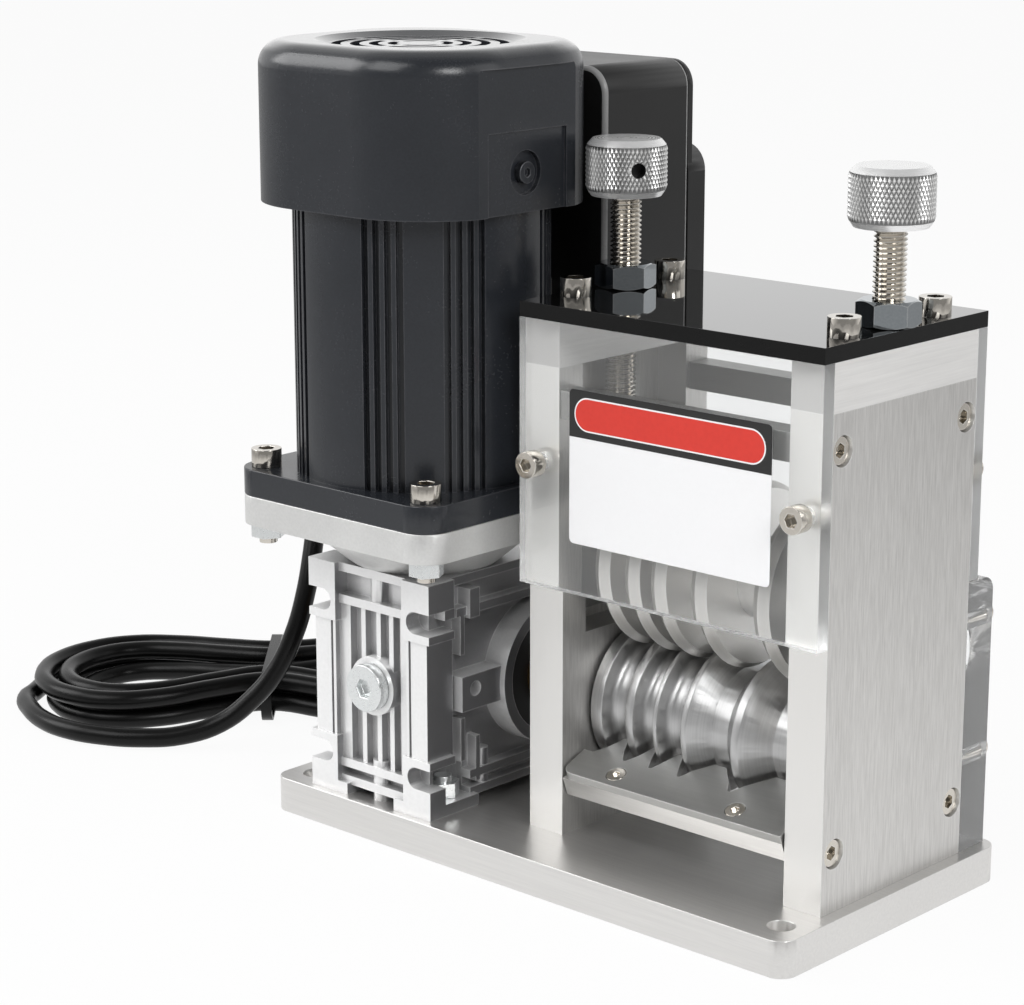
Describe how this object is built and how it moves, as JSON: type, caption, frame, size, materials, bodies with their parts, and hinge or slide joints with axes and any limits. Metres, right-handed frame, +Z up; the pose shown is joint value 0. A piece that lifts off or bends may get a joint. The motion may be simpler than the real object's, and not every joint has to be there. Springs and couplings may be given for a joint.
{
  "type": "electric wire stripper",
  "caption": "Bench wire stripper: worm-geared motor drives a grooved roller under disc blades, with knurled height knobs, clear guards, a control box and a tied cord.",
  "frame": {"origin": "centre of the base plate's underside, on the bench", "axes": "+X along the base from the motor to the cutting head, +Y from the front to the back, +Z up"},
  "size_m": [0.3896, 0.2696, 0.263],
  "materials": {
    "plate_aluminium": "fine brushed",
    "black_acrylic": "polished",
    "clear_acrylic": "clear polished",
    "nickel_screw": "warm nickel plate",
    "dark_steel": "blackened",
    "black_steel": "blackened",
    "cast_aluminium": "fine sand cast",
    "zinc_steel": "zinc plated",
    "black_rubber": "matt",
    "bearing_steel": "ground",
    "motor_paint": "satin",
    "winding": "enamelled copper and iron",
    "black_plastic": "fine texture",
    "cord_rubber": "satin",
    "turned_steel": "turned",
    "bronze": "cut",
    "blade_steel": "ground tool steel",
    "knob_chrome": "knurled and plated",
    "rocker_red": "satin"
  },
  "bodies": {
    "frame": {"base_plate": "plate_aluminium", "left_side_plate": "plate_aluminium", "right_side_plate": "plate_aluminium", "cap_bars": "plate_aluminium", "top_cover": "black_acrylic", "cap_screws": "nickel_screw", "front_guard": "clear_acrylic", "rear_guard": "clear_acrylic", "guard_screws": "nickel_screw", "wire_guide": "clear_acrylic", "tie_bars": "dark_steel", "comb_bar": "plate_aluminium", "comb_plate": "plate_aluminium", "comb_screws": "nickel_screw", "side_screws": "nickel_screw", "base_screws": "black_steel", "gearbox_housing": "cast_aluminium", "gearbox_cover": "cast_aluminium", "gearbox_cover_screws": "zinc_steel", "oil_plug": "zinc_steel", "output_seals": "black_rubber", "output_bearings": "bearing_steel", "shaft_bearings": "bearing_steel", "gearbox_studs": "zinc_steel", "input_flange": "cast_aluminium", "motor_flange": "motor_paint", "motor_body": "motor_paint", "stator": "winding", "fan_cover": "motor_paint", "cover_screws": "black_steel", "flange_bolts": "nickel_screw", "flange_nuts": "zinc_steel", "control_box": "black_plastic", "control_box_lid": "black_plastic", "run_capacitor": "zinc_steel", "switch_frame": "black_plastic", "cord_gland": "black_plastic", "power_cord": "cord_rubber", "cord_hank": "cord_rubber", "cord_tie": "cord_rubber", "plug": "black_plastic", "roller_bearings": "bearing_steel", "lock_nuts": "dark_steel"},
    "roller": {"drive_shaft": "turned_steel", "feed_roller": "turned_steel", "worm_wheel": "bronze"},
    "rotor": {"motor_rotor": "turned_steel", "worm_shaft": "turned_steel", "cooling_fan": "black_plastic"},
    "carrier": {"bearing_blocks": "turned_steel", "blade_bearings": "bearing_steel"},
    "blade_spindle": {"blade_shaft": "turned_steel", "blade_discs": "blade_steel", "blade_spacers": "dark_steel"},
    "left_adjuster": {"left_knob": "knob_chrome", "left_stud": "nickel_screw"},
    "right_adjuster": {"right_knob": "knob_chrome", "right_stud": "nickel_screw"},
    "rocker": {"switch_rocker": "rocker_red"}
  },
  "joints": [
    {"name": "rotor_spin", "type": "hinge", "parent": "frame", "child": "rotor", "pos_m": [-0.0655, -0.0265, 0.15], "axis": [0, 0, 1], "continuous": true},
    {"name": "roller_spin", "type": "hinge", "parent": "frame", "child": "roller", "pos_m": [0, 0.0035, 0.052], "axis": [1, 0, 0], "continuous": true},
    {"name": "carrier_lift", "type": "slide", "parent": "frame", "child": "carrier", "axis": [0, 0, 1], "range_m": [-0.0005, 0.012]},
    {"name": "blade_spin", "type": "hinge", "parent": "carrier", "child": "blade_spindle", "pos_m": [0.04675, 0.0035, 0.1015], "axis": [1, 0, 0], "continuous": true},
    {"name": "left_knob_turn", "type": "hinge", "parent": "carrier", "child": "left_adjuster", "pos_m": [-0.0042, 0.0035, 0.2], "axis": [0, 0, 1], "range_deg": [-120, 2880]},
    {"name": "right_knob_turn", "type": "hinge", "parent": "carrier", "child": "right_adjuster", "pos_m": [0.0977, 0.0035, 0.2], "axis": [0, 0, 1], "range_deg": [-120, 2880]},
    {"name": "rocker_tip", "type": "hinge", "parent": "frame", "child": "rocker", "pos_m": [-0.0655, 0.0695, 0.19712], "axis": [1, 0, 0], "range_deg": [0, 20]}
  ],
  "couplings": [
    {"joint": "roller_spin", "follows": "rotor_spin", "ratio": 0.033333},
    {"joint": "left_knob_turn", "follows": "carrier_lift", "rad_per_m": 4188.8},
    {"joint": "right_knob_turn", "follows": "carrier_lift", "rad_per_m": 4188.8}
  ]
}
